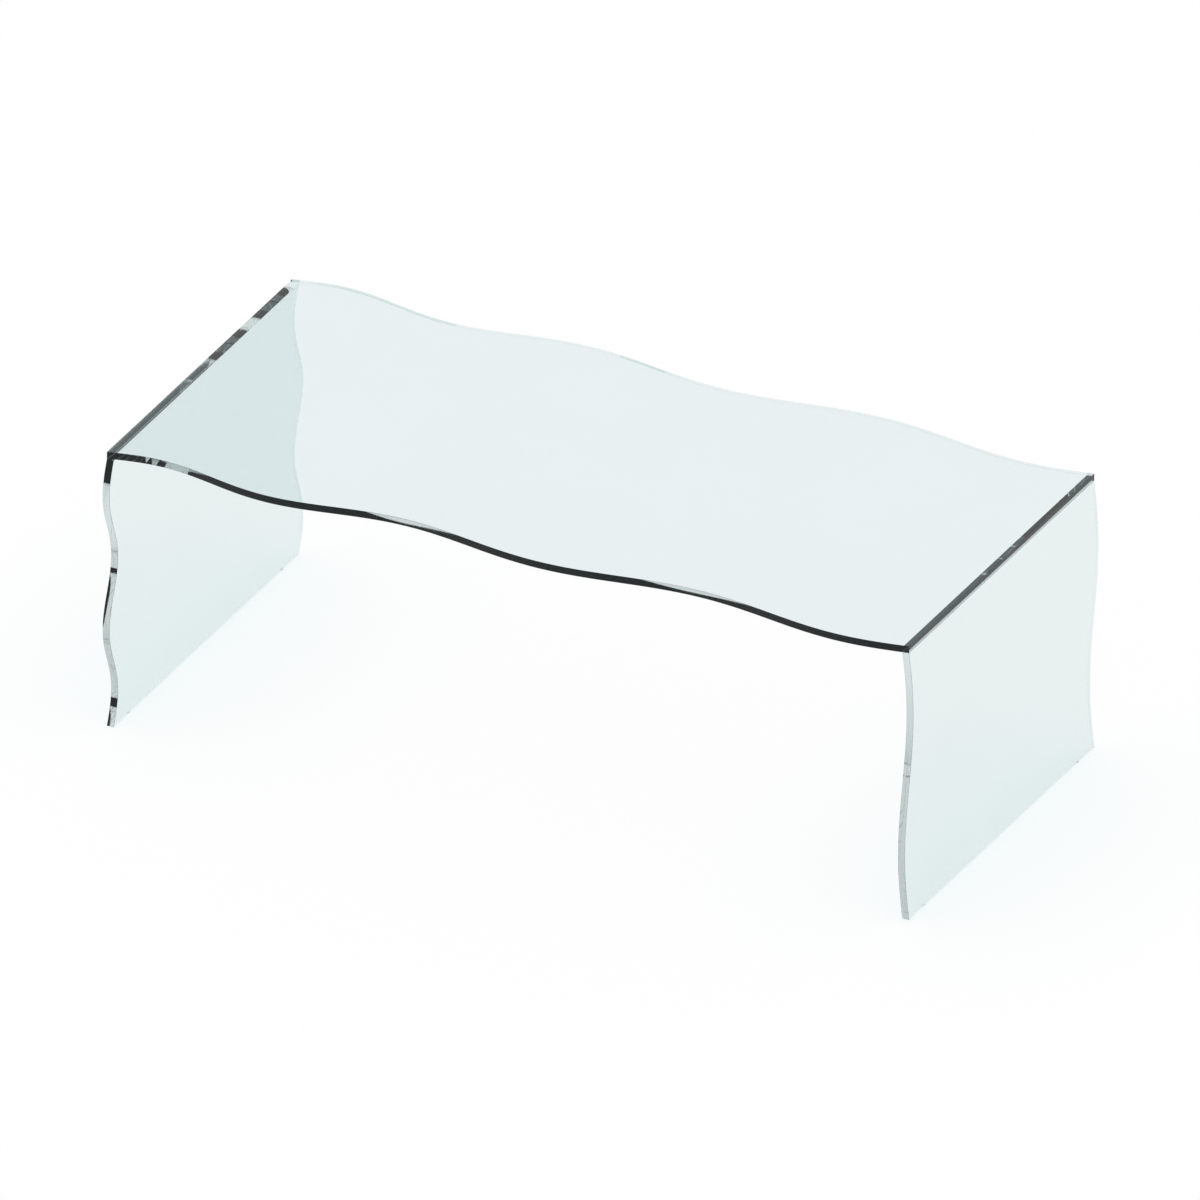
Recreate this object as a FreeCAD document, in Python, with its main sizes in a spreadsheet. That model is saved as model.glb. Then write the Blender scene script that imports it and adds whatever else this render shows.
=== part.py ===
import FreeCAD, Part
import math
import os

import Sketcher

# Waterfall coffee table: three sheets of clear glass in one wavy ribbon that rises at the left end,
# crosses as the top and falls at the right end. The top is one sheet over the full length, which
# lies on the upper edges of the end panels and is bonded to them.
# Millimetres, +X along the length, +Y to the back, +Z up. The origin is on the floor, under the
# middle of the top.

doc = FreeCAD.newDocument("waterfall_coffee_table")

# Driving sizes
SIZES = (
    ("table_length", 1150.0, "over the outer faces of the two end panels"),
    ("table_height", 399.0, "floor to the upper face of the top"),
    ("sheet_depth", 521.0, "front edge to back edge, the same all along the ribbon"),
    ("glass_thickness", 10.0, "all three sheets"),
    ("wave_height", 12.0, "crest of a wave above the edge's mean line"),
    ("left_waves", 2, "whole waves up the left end panel"),
    ("top_waves", 3, "whole waves along the top"),
    ("right_waves", 1, "whole waves down the right end panel"),
    ("wave_lead", 1.03, "how strongly the top's waves crowd towards its left end"),
    ("bond_thickness", 0.2, "cured adhesive between a panel's upper edge and the top"),
    ("bond_setback", 0.5, "adhesive ends this far inside the glass that it joins"),
    ("pad_diameter", 8.0, "clear pads under the end panels"),
    ("pad_thickness", 1.5, "height of a pad, which lifts the glass off the floor"),
    ("pad_bevel", 0.4, "bevel round a pad's lower rim"),
    ("pad_inset", 45.0, "panel corner to the middle of a pad"),
)

# A wave is drawn as a cubic spline, whose control points stand a little outside the sine it follows
SPANS_PER_WAVE = 8
SPLINE_DEGREE = 3
CONTROL_GAIN = 3 / (2 + math.cos(2 * math.pi / SPANS_PER_WAVE))

# How a sketch counts the points of a piece of geometry, and its own origin
START, END, CENTRE = range(1, 4)
ORIGIN = (-1, START)

sizes = doc.addObject("Spreadsheet::Sheet", "Sizes")
for row, (alias, value, meaning) in enumerate(SIZES, start=1):
    sizes.set(f"A{row}", alias)
    sizes.set(f"B{row}", str(value))
    sizes.setAlias(f"B{row}", alias)
    sizes.set(f"C{row}", meaning)
doc.recompute()

# Sizes that follow from the driving ones
PANEL_TOP = "(Sizes.table_height - Sizes.glass_thickness - Sizes.bond_thickness)"
PANEL_RUN = f"({PANEL_TOP} - Sizes.pad_thickness)"
BLANK_DEPTH = "(Sizes.sheet_depth + 4 * Sizes.wave_height)"


class Ribbon:
    """One sheet's stretch of the ribbon: its length, its waves and how they crowd to its start."""

    def __init__(self, run, waves, lead):
        self.run = run
        self.waves = waves
        self.lead = lead

    def wave_at(self, share):
        """Expression for the edge's offset at a share of the run, from 0 at its start to 1."""
        turns = f"{self.waves} * {share} + {self.lead} * {share} * (1 - {share})^2"
        return f"Sizes.wave_height * sin(360 deg * ({turns}))"

    def control_shares(self):
        """Shares of the run at which the control points stand, one more near each end."""
        spans = round(number(self.waves) * SPANS_PER_WAVE)
        steps = ["0", "1 / 3", *range(1, spans), f"{spans} - 1 / 3", spans]
        return [f"(({step}) / {spans})" for step in steps]


LEFT = Ribbon(PANEL_RUN, "Sizes.left_waves", "0")
TOP = Ribbon("Sizes.table_length", "Sizes.top_waves", "Sizes.wave_lead")
RIGHT = Ribbon(PANEL_RUN, "Sizes.right_waves", "0")


def number(expression):
    """The present value of an expression over the driving sizes, as a plain number."""
    value = sizes.evalExpression(expression)
    return float(getattr(value, "Value", value))


def new_body(label):
    body = doc.addObject("PartDesign::Body", label)
    body.Label = label
    return body


def new_sketch(body, name, role):
    plane = next(item for item in body.Origin.OriginFeatures if item.Role == role)
    sketch = body.newObject("Sketcher::SketchObject", name)
    sketch.AttachmentSupport = [(plane, "")]
    sketch.MapMode = "FlatFace"
    return sketch


def place_point(sketch, geometry, point, across, up):
    """Hold a point at its two distances from the sketch's origin, each given as an expression."""
    for kind, expression in (("DistanceX", across), ("DistanceY", up)):
        distance = Sketcher.Constraint(kind, *ORIGIN, geometry, point, number(expression))
        index = sketch.addConstraint(distance)
        sketch.setExpression(f"Constraints[{index}]", expression)


def add_polygon(sketch, corners):
    """Closed straight-sided outline through corners given as pairs of expressions."""
    points = [FreeCAD.Vector(number(across), number(up), 0) for across, up in corners]
    count = len(points)
    sides = [
        sketch.addGeometry(Part.LineSegment(points[i], points[(i + 1) % count]), False)
        for i in range(count)
    ]
    for i in range(count):
        following = sides[(i + 1) % count]
        sketch.addConstraint(Sketcher.Constraint("Coincident", sides[i], END, following, START))
        place_point(sketch, sides[i], START, *corners[i])


def add_wavy_edge(sketch, ribbon, mean_line):
    """Wavy edge along +X about a mean line, with every control point tied to the driving sizes."""
    controls = [
        (f"{ribbon.run} * {share}", f"{mean_line} + {CONTROL_GAIN} * {ribbon.wave_at(share)}")
        for share in ribbon.control_shares()
    ]
    points = [FreeCAD.Vector(number(along), number(across), 0) for along, across in controls]
    knots = list(range(len(points) - SPLINE_DEGREE + 1))
    multiplicities = [SPLINE_DEGREE + 1] + [1] * (len(knots) - 2) + [SPLINE_DEGREE + 1]
    curve = Part.BSplineCurve()
    curve.buildFromPolesMultsKnots(points, multiplicities, knots, False, SPLINE_DEGREE)
    edge = sketch.addGeometry(curve, False)
    sketch.exposeInternalGeometry(edge)
    for i, (along, across) in enumerate(controls, start=edge + 1):
        place_point(sketch, i, CENTRE, along, across)
    return edge


def cut_wave(body, ribbon, name, side):
    """Cut one long edge of the blank to its wave. The side is -1 at the front and 1 at the back."""
    sketch = new_sketch(body, f"{body.Label}_{name}", "XY_Plane")
    wave = add_wavy_edge(sketch, ribbon, f"{side} * Sizes.sheet_depth / 2")
    offcut = f"{side} * ({BLANK_DEPTH} / 2 + Sizes.wave_height)"
    corners = (("0", offcut), (ribbon.run, offcut))
    mean = number(f"{side} * Sizes.sheet_depth / 2")
    inner = [FreeCAD.Vector(number(along), mean, 0) for along, across in corners]
    outer = [FreeCAD.Vector(number(along), number(across), 0) for along, across in corners]
    start = sketch.addGeometry(Part.LineSegment(inner[0], outer[0]), False)
    waste = sketch.addGeometry(Part.LineSegment(outer[0], outer[1]), False)
    end = sketch.addGeometry(Part.LineSegment(outer[1], inner[1]), False)
    joined = (
        (wave, START, start, START),
        (start, END, waste, START),
        (waste, END, end, START),
        (end, END, wave, END),
    )
    for pair in joined:
        sketch.addConstraint(Sketcher.Constraint("Coincident", *pair))
    place_point(sketch, waste, START, *corners[0])
    place_point(sketch, waste, END, *corners[1])
    pocket = body.newObject("PartDesign::Pocket", f"{sketch.Name}_cut")
    pocket.Profile = sketch
    pocket.Type = "ThroughAll"
    pocket.SideType = "Symmetric"
    doc.recompute()
    if not pocket.Shape.Volume < pocket.BaseFeature.Shape.Volume:
        raise RuntimeError(f"{pocket.Name} cut nothing")


def put(body, base, turn):
    """Turn a body about Y and set it at a place given as three expressions."""
    body.Placement.Rotation = FreeCAD.Rotation(FreeCAD.Vector(0, 1, 0), turn)
    for axis, expression in zip("xyz", base):
        body.setExpression(f"Placement.Base.{axis}", expression)


def glass_sheet(label, ribbon, base, turn):
    """One sheet: a rectangular blank, cut to its waves and turned into its place."""
    body = new_body(label)
    blank = new_sketch(body, f"{label}_blank", "XY_Plane")
    half = f"{BLANK_DEPTH} / 2"
    add_polygon(blank, (("0", f"-{half}"), (ribbon.run, f"-{half}"), (ribbon.run, half), ("0", half)))
    pad = body.newObject("PartDesign::Pad", f"{label}_glass")
    pad.Profile = blank
    pad.Reversed = True
    pad.setExpression("Length", "Sizes.glass_thickness")
    doc.recompute()
    cut_wave(body, ribbon, "front_wave", -1)
    cut_wave(body, ribbon, "back_wave", 1)
    put(body, base, turn)
    return body


def joint_bond(label, end):
    """Film of adhesive on a panel's upper edge, inside the outline that it shares with the top."""
    body = new_body(label)
    sketch = new_sketch(body, f"{label}_outline", "XY_Plane")
    front = "-Sizes.sheet_depth / 2 + Sizes.bond_setback"
    back = "Sizes.sheet_depth / 2 - Sizes.bond_setback"
    outer = f"{end} * (Sizes.table_length / 2 - Sizes.bond_setback)"
    inner = f"{end} * (Sizes.table_length / 2 - Sizes.glass_thickness + Sizes.bond_setback)"
    outer_wave = TOP.wave_at(f"(({outer}) / {TOP.run} + 1 / 2)")
    inner_wave = TOP.wave_at(f"(({inner}) / {TOP.run} + 1 / 2)")
    add_polygon(sketch, (
        (outer, f"{front} + max(0; {outer_wave})"),
        (inner, f"{front} + max(0; {inner_wave})"),
        (inner, f"{back} + min(0; {inner_wave})"),
        (outer, f"{back} + min(0; {outer_wave})"),
    ))
    pad = body.newObject("PartDesign::Pad", f"{label}_film")
    pad.Profile = sketch
    pad.setExpression("Length", "Sizes.bond_thickness")
    put(body, ("0", "0", PANEL_TOP), turn=0)
    return body


def floor_pad(label, end, side):
    """Clear round pad under a panel's lower edge, with a bevelled lower rim."""
    body = new_body(label)
    sketch = new_sketch(body, f"{label}_outline", "XY_Plane")
    radius = number("Sizes.pad_diameter / 2")
    rim = sketch.addGeometry(Part.Circle(FreeCAD.Vector(), FreeCAD.Vector(0, 0, 1), radius), False)
    sketch.addConstraint(Sketcher.Constraint("Coincident", rim, CENTRE, *ORIGIN))
    index = sketch.addConstraint(Sketcher.Constraint("Diameter", rim, 2 * radius))
    sketch.setExpression(f"Constraints[{index}]", "Sizes.pad_diameter")
    pad = body.newObject("PartDesign::Pad", f"{label}_disc")
    pad.Profile = sketch
    pad.setExpression("Length", "Sizes.pad_thickness")
    doc.recompute()
    lowest = min(range(len(pad.Shape.Edges)), key=lambda i: pad.Shape.Edges[i].BoundBox.ZMax)
    bevel = body.newObject("PartDesign::Chamfer", f"{label}_rim")
    bevel.Base = (pad, [f"Edge{lowest + 1}"])
    bevel.setExpression("Size", "Sizes.pad_bevel")
    middle_of_panel = f"{end} * (Sizes.table_length - Sizes.glass_thickness) / 2"
    put(body, (middle_of_panel, f"{side} * (Sizes.sheet_depth / 2 - Sizes.pad_inset)", "0"), turn=0)
    return body


# Where each sheet's stretch of the ribbon starts, on its outer face
LEFT_START = ("-Sizes.table_length / 2", "0", "Sizes.pad_thickness")
TOP_START = ("-Sizes.table_length / 2", "0", "Sizes.table_height")
RIGHT_START = ("Sizes.table_length / 2", "0", PANEL_TOP)

subparts = [
    glass_sheet("left_end_panel", LEFT, base=LEFT_START, turn=-90),
    glass_sheet("top_panel", TOP, base=TOP_START, turn=0),
    glass_sheet("right_end_panel", RIGHT, base=RIGHT_START, turn=90),
    joint_bond("left_joint_bond", end=-1),
    joint_bond("right_joint_bond", end=1),
]
for end_name, end in (("left", -1), ("right", 1)):
    for side_name, side in (("front", -1), ("back", 1)):
        subparts.append(floor_pad(f"{side_name}_{end_name}_floor_pad", end, side))
doc.recompute()

# Every object must have recomputed cleanly before anything is written
for item in doc.Objects:
    if "Invalid" in item.State or "Error" in item.State:
        raise RuntimeError(f"{item.Label} did not recompute: {item.State}")
for body in subparts:
    if body.Shape.isNull() or not body.Shape.isValid():
        raise RuntimeError(f"{body.Label} has no valid shape")

os.makedirs("parts", exist_ok=True)
for body in subparts:
    body.Shape.exportStep(f"parts/{body.Label}.step")
    box = body.Shape.BoundBox
    print(f"{body.Label}: {box.XLength:.1f} x {box.YLength:.1f} x {box.ZLength:.1f} mm")
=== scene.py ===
import math

import bmesh
import bpy
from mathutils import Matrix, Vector


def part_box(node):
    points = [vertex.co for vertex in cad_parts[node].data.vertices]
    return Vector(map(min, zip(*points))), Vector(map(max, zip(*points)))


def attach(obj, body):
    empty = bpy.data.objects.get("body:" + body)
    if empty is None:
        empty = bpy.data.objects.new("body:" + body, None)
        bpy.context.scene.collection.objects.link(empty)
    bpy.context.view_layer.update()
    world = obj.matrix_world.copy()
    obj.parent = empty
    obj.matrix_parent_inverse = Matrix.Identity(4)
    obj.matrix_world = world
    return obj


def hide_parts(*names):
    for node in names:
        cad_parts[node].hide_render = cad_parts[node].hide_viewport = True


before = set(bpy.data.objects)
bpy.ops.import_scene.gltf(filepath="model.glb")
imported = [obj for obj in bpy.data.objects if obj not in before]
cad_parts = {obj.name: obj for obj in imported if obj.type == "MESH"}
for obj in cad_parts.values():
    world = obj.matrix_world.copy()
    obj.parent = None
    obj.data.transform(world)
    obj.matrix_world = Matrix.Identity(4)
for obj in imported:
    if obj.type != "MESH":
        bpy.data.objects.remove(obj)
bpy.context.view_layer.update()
scene = bpy.context.scene

# One millimetre in the scene, and the sizes of the table that the frame gives, in millimetres
MM = 0.001
top_low, top_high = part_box("top_panel")
panel_low, panel_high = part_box("left_end_panel")
LENGTH = round((top_high.x - top_low.x) / MM, 3)
HEIGHT = round(top_high.z / MM, 3)
GLASS = round((top_high.z - top_low.z) / MM, 3)
PANEL_TOP = round(panel_high.z / MM, 3)
PANEL_FOOT = round(panel_low.z / MM, 3)
PANEL_RUN = PANEL_TOP - PANEL_FOOT

# The waves of the long edges, and the ground-off corner along every edge of the glass
DEPTH = 521.0
WAVE_HEIGHT = 12.0
TOP_WAVES = 3
TOP_LEAD = 1.03
LEFT_WAVES = 2
RIGHT_WAVES = 1
ARRIS = 0.2

# Mesh rows along each sheet, close enough that the light inside the edges stays smooth
ROWS_PER_GLASS = 4
TOP_ROWS = ROWS_PER_GLASS * round(LENGTH / GLASS)
PANEL_ROWS = ROWS_PER_GLASS * round(PANEL_RUN / GLASS)
SHARP_ANGLE = math.radians(20)
SNAP = 0.01

# Material places on a sheet of glass
FACE = 0
EDGE = 1
JOINT = 2

# Glass: its index and the share of light that each colour keeps on the way in and out
GLASS_INDEX = 1.5
TOP_TINT = (0.795, 0.865, 0.882)
PANEL_TINT = (0.79, 0.862, 0.858)
EDGE_TINT = (0.59, 0.663, 0.663)
# Painted shade: the much darker colour painted on the top's edges towards its ends
END_PAINTED_SHADE = (0.24, 0.31, 0.31)

# Painted shade on the top's edges: how far from the middle it begins to darken their colour, and where it is
# darkest
END_SHADE_START = 300.0
END_SHADE_FULL = 450.0

# Painted shade and painted light on the panels' edges: how much darker their colour is painted at the foot,
# and how much paler at the top
PAINTED_FOOT_SHADE = 0.85
PAINTED_HEAD_LIGHT = 1.22

# How much of the usual mirror gloss the faces and the edges keep
FACE_GLOSS = (0.9, 1.0, 1.0)
EDGE_GLOSS = (0.58, 0.66, 0.68)

# Unevenness of the faces: of their tint, of their wiped-over polish and of the rolled sheet
CLOUD_SHARE = 0.015
WIPED_ROUGHNESS = 0.02
ROLLER_DEPTH = 0.02

# Grinding lines of the edges: how much finer they are across than along, and what they change
TOP_LINES = (2, 2, 400)
PANEL_LINES = (400, 2, 2)
LINE_SHARE = 0.03
LINE_ROUGHNESS = 0.025
LINE_DEPTH = 0.0001

# Adhesive and pads: the two colours between which each varies
ADHESIVE_TONES = ((0.86, 0.93, 0.93), (0.94, 0.97, 0.97))
PAD_TONES = ((0.88, 0.92, 0.92), (0.97, 0.98, 0.98))
PAD_INDEX = 1.41
PAD_COVER = 0.3
PAD_RELIEF = 0.05

# Floor, with its shadow round the table, and its contact shadow for light that comes down inside a panel
FLOOR_HALF = 12.0
FLOOR_SEGMENTS = 8
FLOOR_WHITE = 0.95
FLOOR_ROUGHNESS = 0.9
SHADOW_REACH = 350.0
SHADOW_TONE = (0.86, 0.95, 0.95)
SHADOW_SAMPLES = 8
CONTACT_REACH = 10.0
CONTACT_DARK = 0.5
CONTACT_LIGHT = 0.95
CONTACT_TONE = (0.045, 0.075, 0.075)
CONTACT_TURNS = 8
WHITE = (1, 1, 1)

# How often light may turn inside the glass before it is lost
LIGHT_TURNS = 18
CLEAR_TURNS = 48

# The photo's parallel view: angles, pixels per millimetre and the pixel of the frame's origin
PHOTO_SIZE = 1200
AZIMUTH = math.radians(27.013)
ELEVATION = math.radians(28.383)
PIXELS_PER_MM = 0.7831
ORIGIN_PIXEL = (600.57, 737.64)
CAMERA_DISTANCE = 4.0
CAMERA_REACH = 50.0


def wave_at(along, run, waves, lead=0.0):
    """Offset of the long edges at a distance along the sheet."""
    share = along / run
    return WAVE_HEIGHT * math.sin(2 * math.pi * (waves * share + lead * share * (1 - share) ** 2))


def top_wave(along):
    return wave_at(along, LENGTH, TOP_WAVES, TOP_LEAD)


def left_wave(along):
    return wave_at(along, PANEL_RUN, LEFT_WAVES)


def right_wave(along):
    return wave_at(along, PANEL_RUN, RIGHT_WAVES)


def top_place(along, across, depth):
    return Vector((-LENGTH / 2 + along, across, HEIGHT - depth)) * MM


def left_place(along, across, depth):
    return Vector((-LENGTH / 2 + depth, across, PANEL_FOOT + along)) * MM


def right_place(along, across, depth):
    return Vector((LENGTH / 2 - depth, across, PANEL_TOP - along)) * MM


# Points round a sheet's section: side, inset from the edge and depth below the outer face
SECTION = (
    (-1, ARRIS, 0.0),
    (1, ARRIS, 0.0),
    (1, 0.0, ARRIS),
    (1, 0.0, GLASS - ARRIS),
    (1, ARRIS, GLASS),
    (-1, ARRIS, GLASS),
    (-1, 0.0, GLASS - ARRIS),
    (-1, 0.0, ARRIS),
)

# Which material each strip round the section takes, from the outer face on
STRIP_PLACES = (FACE, EDGE, EDGE, EDGE, FACE, EDGE, EDGE, EDGE)
UNDER_STRIP = 4


def drawn_in(point, flush_below):
    """A section point on an arrised end face. A flush lower side keeps its depth."""
    side, inset, depth = point

    def pull(distance):
        return ARRIS if distance == 0 else math.sqrt(2) * ARRIS

    if depth < GLASS / 2:
        return side, pull(inset), pull(depth)
    return side, pull(inset), depth if flush_below else GLASS - pull(GLASS - depth)


def build_sheet(run, count, wave, place, square_ends=(), flush_below=False):
    """Closed mesh of one sheet, whose ends are arrised unless square, its under strip and its ends."""
    bm = bmesh.new()
    drawn = [drawn_in(point, flush_below) for point in SECTION]
    stations = [(run * i / count, SECTION) for i in range(count + 1)]
    if "start" not in square_ends:
        stations[:1] = [(0.0, drawn), (ARRIS, SECTION)]
    if "end" not in square_ends:
        stations[-1:] = [(run - ARRIS, SECTION), (run, drawn)]
    rows = []
    for along, points in stations:
        offset = wave(along)
        rows.append([
            bm.verts.new(place(along, side * (DEPTH / 2 - inset) + offset, depth))
            for side, inset, depth in points
        ])
    under = []
    for (along, _), row, following in zip(stations, rows, rows[1:]):
        for k, strip_place in enumerate(STRIP_PLACES):
            n = (k + 1) % len(row)
            face = bm.faces.new((row[k], following[k], following[n], row[n]))
            face.material_index = strip_place
            if k == UNDER_STRIP:
                under.append((along, face))
    ends = {"start": bm.faces.new(rows[0]), "end": bm.faces.new(list(reversed(rows[-1])))}
    for face in ends.values():
        face.material_index = EDGE
    return bm, under, ends


def split_faces(bm, faces, point, normal):
    """Split faces where they cross a plane, and return all the faces that they then are."""
    geometry = set(faces)
    for face in faces:
        geometry.update(face.edges, face.verts)
    cut = bmesh.ops.bisect_plane(bm, geom=list(geometry), dist=SNAP * MM, plane_co=point, plane_no=normal)
    return [item for item in cut["geom"] if isinstance(item, bmesh.types.BMFace)]


def finish_sheet(bm, name, node, materials):
    bmesh.ops.recalc_face_normals(bm, faces=bm.faces)
    for face in bm.faces:
        face.smooth = True
    mesh = bpy.data.meshes.new(name)
    bm.to_mesh(mesh)
    bm.free()
    mesh.set_sharp_from_angle(angle=SHARP_ANGLE)
    for material in materials:
        mesh.materials.append(material)
    piece = bpy.data.objects.new(name, mesh)
    scene.collection.objects.link(piece)
    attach(piece, "root")
    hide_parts(node)


def build_top(materials):
    """The top. Its underside is part of the joint where it lies on the panels' upper edges."""
    bm, under, _ = build_sheet(LENGTH, TOP_ROWS, top_wave, top_place, flush_below=True)
    left_reach = GLASS - ARRIS
    right_reach = LENGTH - GLASS - ARRIS
    lying = [face for along, face in under if along < left_reach or along > right_reach]
    for side in (-1, 1):
        edge_of_panel = side * DEPTH / 2 * MM
        lying = split_faces(bm, lying, (0, edge_of_panel, 0), (0, 1, 0))
    for face in lying:
        if abs(face.calc_center_median().y) < DEPTH / 2 * MM:
            face.material_index = JOINT
    finish_sheet(bm, "glass_top", "top_panel", materials)


def build_panel(name, node, wave, place, upper_end, corner_along, materials):
    """An end panel. Its upper edge is part of the joint where the top covers it."""
    bm, _, ends = build_sheet(PANEL_RUN, PANEL_ROWS, wave, place, square_ends=(upper_end,))
    # The top's edge runs off the panel's corner, from its outer face to its inner face
    outer_x = -LENGTH / 2 if corner_along < LENGTH / 2 else LENGTH / 2
    inner_x = corner_along - LENGTH / 2
    run_off = top_wave(corner_along)
    side = -math.copysign(1, run_off)
    edge_y = side * (DEPTH / 2 - ARRIS)
    point = Vector((outer_x, edge_y, 0)) * MM
    along_edge = Vector((inner_x - outer_x, run_off, 0))
    across_edge = Vector((-along_edge.y, along_edge.x, 0)).normalized()
    middle = -point.dot(across_edge)
    for face in split_faces(bm, [ends[upper_end]], point, across_edge):
        beyond = (face.calc_center_median() - point).dot(across_edge)
        face.material_index = JOINT if beyond * middle > 0 else EDGE
    finish_sheet(bm, name, node, materials)


def new_material(name):
    material = bpy.data.materials.new(name)
    material.use_nodes = True
    tree = material.node_tree
    return material, tree, tree.nodes["Principled BSDF"]


def add_node(tree, kind, **settings):
    node = tree.nodes.new(kind)
    for key, value in settings.items():
        setattr(node, key, value)
    return node


def feed(tree, value, socket):
    """Give a socket another node's output, or else a plain value."""
    if isinstance(value, bpy.types.NodeSocket):
        tree.links.new(value, socket)
    elif socket.type == "RGBA":
        socket.default_value = (*value, 1)
    else:
        socket.default_value = value


def add_math(tree, operation, *values):
    node = add_node(tree, "ShaderNodeMath", operation=operation)
    for value, socket in zip(values, node.inputs):
        feed(tree, value, socket)
    return node.outputs[0]


def add_noise(tree, scale, stretch=(1, 1, 1), detail=2.0):
    """Noise over the piece's own metres, finer along an axis that is stretched more."""
    coordinates = add_node(tree, "ShaderNodeTexCoord")
    mapping = add_node(tree, "ShaderNodeMapping")
    mapping.inputs["Scale"].default_value = stretch
    noise = add_node(tree, "ShaderNodeTexNoise")
    noise.inputs["Scale"].default_value = scale
    noise.inputs["Detail"].default_value = detail
    tree.links.new(coordinates.outputs["Object"], mapping.inputs["Vector"])
    tree.links.new(mapping.outputs["Vector"], noise.inputs["Vector"])
    return noise.outputs["Fac"]


def add_range(tree, value, low, high, to_low=0.0, to_high=1.0):
    """A value that rises smoothly from one number to another while its input goes from low to high."""
    mapped = add_node(tree, "ShaderNodeMapRange", interpolation_type="SMOOTHSTEP")
    mapped.inputs["From Min"].default_value = low
    mapped.inputs["From Max"].default_value = high
    mapped.inputs["To Min"].default_value = to_low
    mapped.inputs["To Max"].default_value = to_high
    tree.links.new(value, mapped.inputs["Value"])
    return mapped.outputs["Result"]


def add_blend(tree, factor, first, second):
    """Colour between two others, each given as a colour or as another node's output."""
    blend = add_node(tree, "ShaderNodeMix", data_type="RGBA")
    tree.links.new(factor, blend.inputs["Factor"])
    sockets = [socket for socket in blend.inputs if socket.type == "RGBA"]
    for socket, colour in zip(sockets, (first, second)):
        feed(tree, colour, socket)
    return next(socket for socket in blend.outputs if socket.type == "RGBA")


def add_relief(tree, shader, height, depth):
    """Fine relief of a depth in millimetres."""
    bump = add_node(tree, "ShaderNodeBump")
    bump.inputs["Distance"].default_value = depth * MM
    tree.links.new(height, bump.inputs["Height"])
    tree.links.new(bump.outputs["Normal"], shader.inputs["Normal"])


def add_occlusion(tree, reach):
    """How open a place is, as far round as a reach in millimetres."""
    node = add_node(tree, "ShaderNodeAmbientOcclusion", samples=SHADOW_SAMPLES)
    node.inputs["Distance"].default_value = reach * MM
    return node.outputs["AO"]


def shade(colour, factor):
    return tuple(factor * part for part in colour)


def make_glass(name, gloss):
    material, tree, shader = new_material(name)
    shader.inputs["IOR"].default_value = GLASS_INDEX
    shader.inputs["Specular Tint"].default_value = (*gloss, 1)
    shader.inputs["Transmission Weight"].default_value = 1.0
    return material, tree, shader


def face_glass(name, tint, rolled_along):
    """Polished face: a faint unevenness of tint, wiped-over sheen and the slight roller wave of the sheet."""
    material, tree, shader = make_glass(name, FACE_GLOSS)
    clouds = add_noise(tree, scale=6.0, detail=3.0)
    uneven = add_blend(tree, clouds, shade(tint, 1 - CLOUD_SHARE), shade(tint, 1 + CLOUD_SHARE))
    tree.links.new(uneven, shader.inputs["Base Color"])
    wiped = add_noise(tree, scale=9.0, stretch=(1, 3, 1), detail=4.0)
    polish = add_range(tree, wiped, low=0.45, high=0.75, to_high=WIPED_ROUGHNESS)
    tree.links.new(polish, shader.inputs["Roughness"])
    rollers = add_noise(tree, scale=4.0, stretch=rolled_along, detail=0.0)
    add_relief(tree, shader, rollers, ROLLER_DEPTH)
    return material


def edge_glass(name, axis, near, far, near_tint_and_shade, far_tint_and_shade, ground_across):
    """Polished edge: deeper in colour, with painted shade and painted light graded along an axis, and fine
    lines along the grinding.
    """
    material, tree, shader = make_glass(name, EDGE_GLOSS)
    coordinates = add_node(tree, "ShaderNodeTexCoord")
    parts = add_node(tree, "ShaderNodeSeparateXYZ")
    tree.links.new(coordinates.outputs["Object"], parts.inputs["Vector"])
    # Painted shade and light: the edge colour is graded from one colour to the other along the axis
    distance = add_math(tree, "ABSOLUTE", parts.outputs[axis])
    painted_shade_blend = add_range(tree, distance, low=near * MM, high=far * MM)
    lines = add_noise(tree, scale=3.0, stretch=ground_across, detail=3.0)
    deeper, paler = (
        add_blend(tree, painted_shade_blend, shade(near_tint_and_shade, factor), shade(far_tint_and_shade, factor))
        for factor in (1 - LINE_SHARE, 1 + LINE_SHARE)
    )
    tree.links.new(add_blend(tree, lines, deeper, paler), shader.inputs["Base Color"])
    polish = add_range(tree, lines, low=0.3, high=0.8, to_high=LINE_ROUGHNESS)
    tree.links.new(polish, shader.inputs["Roughness"])
    add_relief(tree, shader, lines, LINE_DEPTH)
    return material


def clear_joint(name):
    """Cured adhesive of the glass's own index, so that the light passes it unturned."""
    material, tree, shader = new_material(name)
    cloud = add_noise(tree, scale=40.0, detail=3.0)
    tree.links.new(add_blend(tree, cloud, *ADHESIVE_TONES), shader.inputs["Base Color"])
    shader.inputs["Alpha"].default_value = 0.0
    return material


def pad_polymer(name):
    """Soft clear polymer, slightly milky and mottled, with a dull skin."""
    material, tree, shader = new_material(name)
    mottle = add_noise(tree, scale=600.0, detail=4.0)
    tree.links.new(add_blend(tree, mottle, *PAD_TONES), shader.inputs["Base Color"])
    dullness = add_range(tree, mottle, low=0.3, high=0.7, to_low=0.3, to_high=0.5)
    tree.links.new(dullness, shader.inputs["Roughness"])
    add_relief(tree, shader, mottle, PAD_RELIEF)
    shader.inputs["IOR"].default_value = PAD_INDEX
    shader.inputs["Alpha"].default_value = PAD_COVER
    return material


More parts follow.
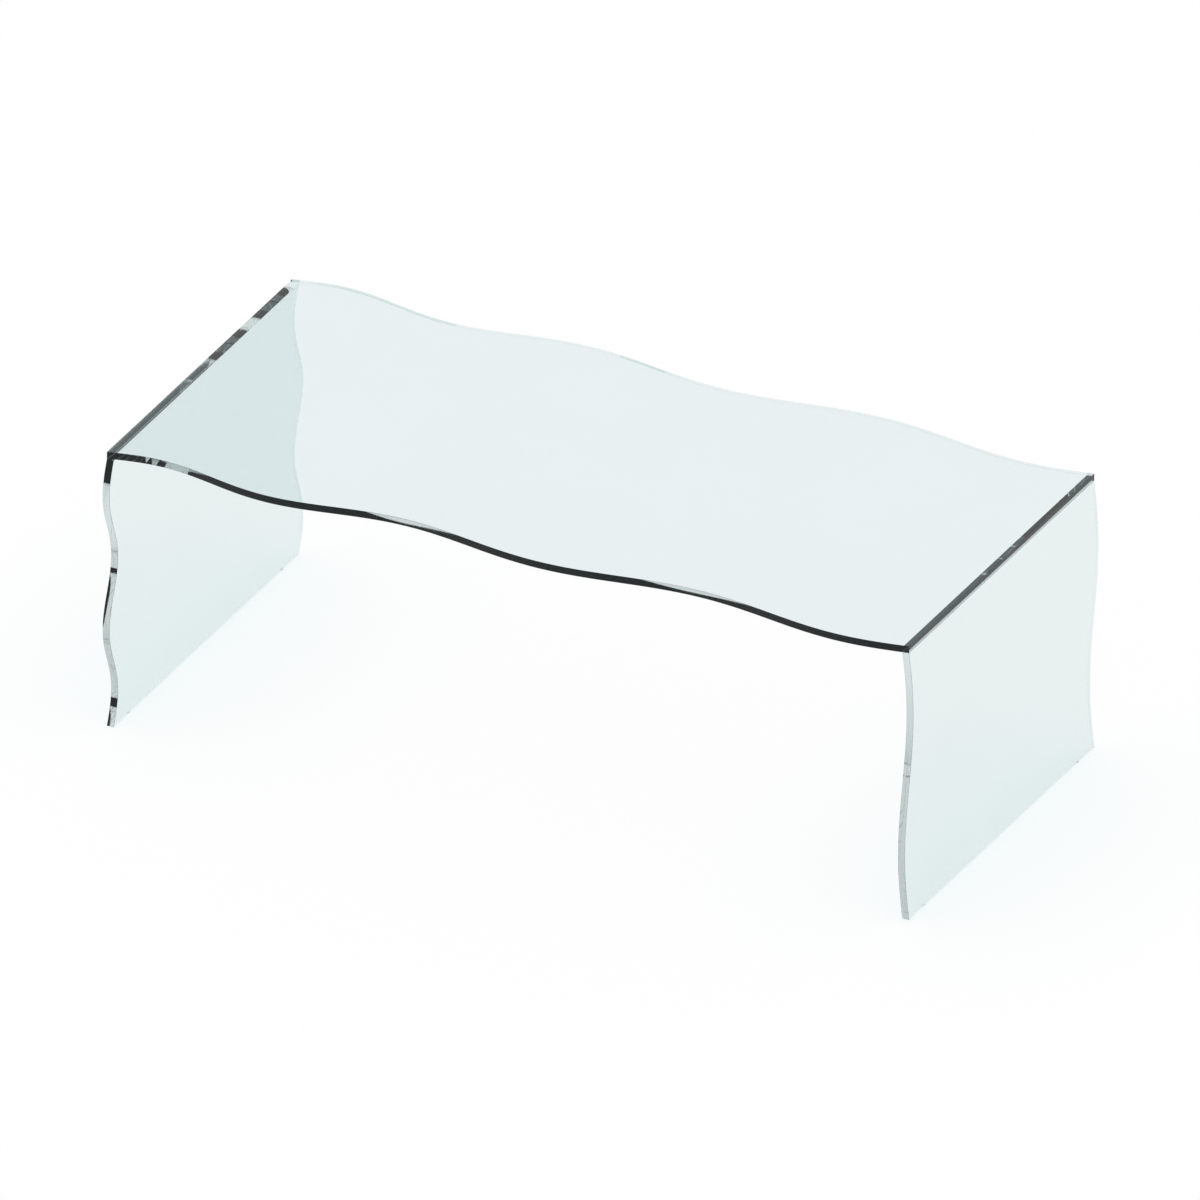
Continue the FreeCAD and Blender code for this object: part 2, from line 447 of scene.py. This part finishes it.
def white_floor(name):
    """White floor that shows as white, a little darker round the table and dark where a panel stands."""
    material, tree, lit = new_material(name)
    lit.inputs["Base Color"].default_value = (*shade(WHITE, FLOOR_WHITE), 1)
    lit.inputs["Roughness"].default_value = FLOOR_ROUGHNESS
    lit.inputs["Specular IOR Level"].default_value = 0.0
    paths = add_node(tree, "ShaderNodeLightPath").outputs
    seen = add_math(tree, "MAXIMUM", paths["Is Camera Ray"], paths["Is Glossy Ray"])
    seen = add_math(tree, "MAXIMUM", seen, paths["Is Transmission Ray"])
    share = add_math(tree, "MULTIPLY", seen, FLOOR_WHITE)
    # Only light that has turned many times, inside a panel, finds the floor dark where the panel stands
    contact = add_range(tree, add_occlusion(tree, CONTACT_REACH), CONTACT_DARK, CONTACT_LIGHT)
    direct = add_math(tree, "LESS_THAN", paths["Ray Depth"], CONTACT_TURNS)
    bare = add_math(tree, "MAXIMUM", contact, direct)
    shadowed = add_blend(tree, add_occlusion(tree, SHADOW_REACH), SHADOW_TONE, WHITE)
    glow = add_node(tree, "ShaderNodeEmission")
    tree.links.new(add_blend(tree, bare, CONTACT_TONE, shadowed), glow.inputs["Color"])
    both = add_node(tree, "ShaderNodeMixShader")
    tree.links.new(share, both.inputs["Fac"])
    tree.links.new(lit.outputs[0], both.inputs[1])
    tree.links.new(glow.outputs[0], both.inputs[2])
    tree.links.new(both.outputs[0], tree.nodes["Material Output"].inputs["Surface"])
    return material


def build_floor():
    bm = bmesh.new()
    bmesh.ops.create_grid(bm, x_segments=FLOOR_SEGMENTS, y_segments=FLOOR_SEGMENTS, size=FLOOR_HALF)
    mesh = bpy.data.meshes.new("floor")
    bm.to_mesh(mesh)
    bm.free()
    mesh.materials.append(white_floor("floor"))
    floor = bpy.data.objects.new("floor", mesh)
    scene.collection.objects.link(floor)


def light_studio():
    """Plain white surroundings, and light that is lost after many turns inside the glass."""
    world = bpy.data.worlds.new("studio")
    world.use_nodes = True
    background = world.node_tree.nodes["Background"]
    background.inputs["Color"].default_value = (*WHITE, 1)
    background.inputs["Strength"].default_value = 1.0
    scene.world = world
    scene.view_settings.view_transform = "Standard"
    scene.cycles.max_bounces = LIGHT_TURNS
    scene.cycles.glossy_bounces = LIGHT_TURNS
    scene.cycles.transmission_bounces = LIGHT_TURNS
    scene.cycles.transparent_max_bounces = CLEAR_TURNS


def place_camera():
    """Parallel camera that puts the frame's origin on its pixel of the photo."""
    toward = Vector((
        math.sin(AZIMUTH) * math.cos(ELEVATION),
        -math.cos(AZIMUTH) * math.cos(ELEVATION),
        math.sin(ELEVATION),
    ))
    rightward = Vector((math.cos(AZIMUTH), math.sin(AZIMUTH), 0))
    upward = toward.cross(rightward)
    pixels_right = PHOTO_SIZE / 2 - ORIGIN_PIXEL[0]
    pixels_up = ORIGIN_PIXEL[1] - PHOTO_SIZE / 2
    aim = (rightward * pixels_right + upward * pixels_up) / PIXELS_PER_MM * MM
    data = bpy.data.cameras.new("camera")
    data.type = "ORTHO"
    data.ortho_scale = PHOTO_SIZE / PIXELS_PER_MM * MM
    data.clip_end = CAMERA_REACH
    camera = bpy.data.objects.new("camera", data)
    camera.location = aim + toward * CAMERA_DISTANCE
    camera.rotation_euler = (-toward).to_track_quat("-Z", "Y").to_euler()
    scene.collection.objects.link(camera)
    scene.camera = camera


joint = clear_joint("joint_adhesive")
pad = pad_polymer("pad_polymer")
top_glass = face_glass("top_glass", TOP_TINT, rolled_along=(1, 0.1, 1))
panel_glass = face_glass("panel_glass", PANEL_TINT, rolled_along=(0.1, 0.1, 1))
# Top's edges: own tint in the middle, painted shade towards the ends
top_edge = edge_glass("top_edge_glass", "X", END_SHADE_START, END_SHADE_FULL, EDGE_TINT, END_PAINTED_SHADE, TOP_LINES)
# Panels' edges: painted shade at the foot and painted light at the top
painted_foot_shade = shade(EDGE_TINT, PAINTED_FOOT_SHADE)
painted_head_light = shade(EDGE_TINT, PAINTED_HEAD_LIGHT)
panel_edge = edge_glass("panel_edge_glass", "Z", 0.0, HEIGHT, painted_foot_shade, painted_head_light, PANEL_LINES)

build_top((top_glass, top_edge, joint))
panel_materials = (panel_glass, panel_edge, joint)
build_panel("glass_left_panel", "left_end_panel", left_wave, left_place, "end", GLASS, panel_materials)
build_panel("glass_right_panel", "right_end_panel", right_wave, right_place, "start", LENGTH - GLASS,
            panel_materials)

for name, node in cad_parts.items():
    if name.endswith("_joint_bond"):
        node.data.materials.clear()
        node.data.materials.append(joint)
    elif name.endswith("_floor_pad"):
        node.data.materials.clear()
        node.data.materials.append(pad)

build_floor()
light_studio()
place_camera()
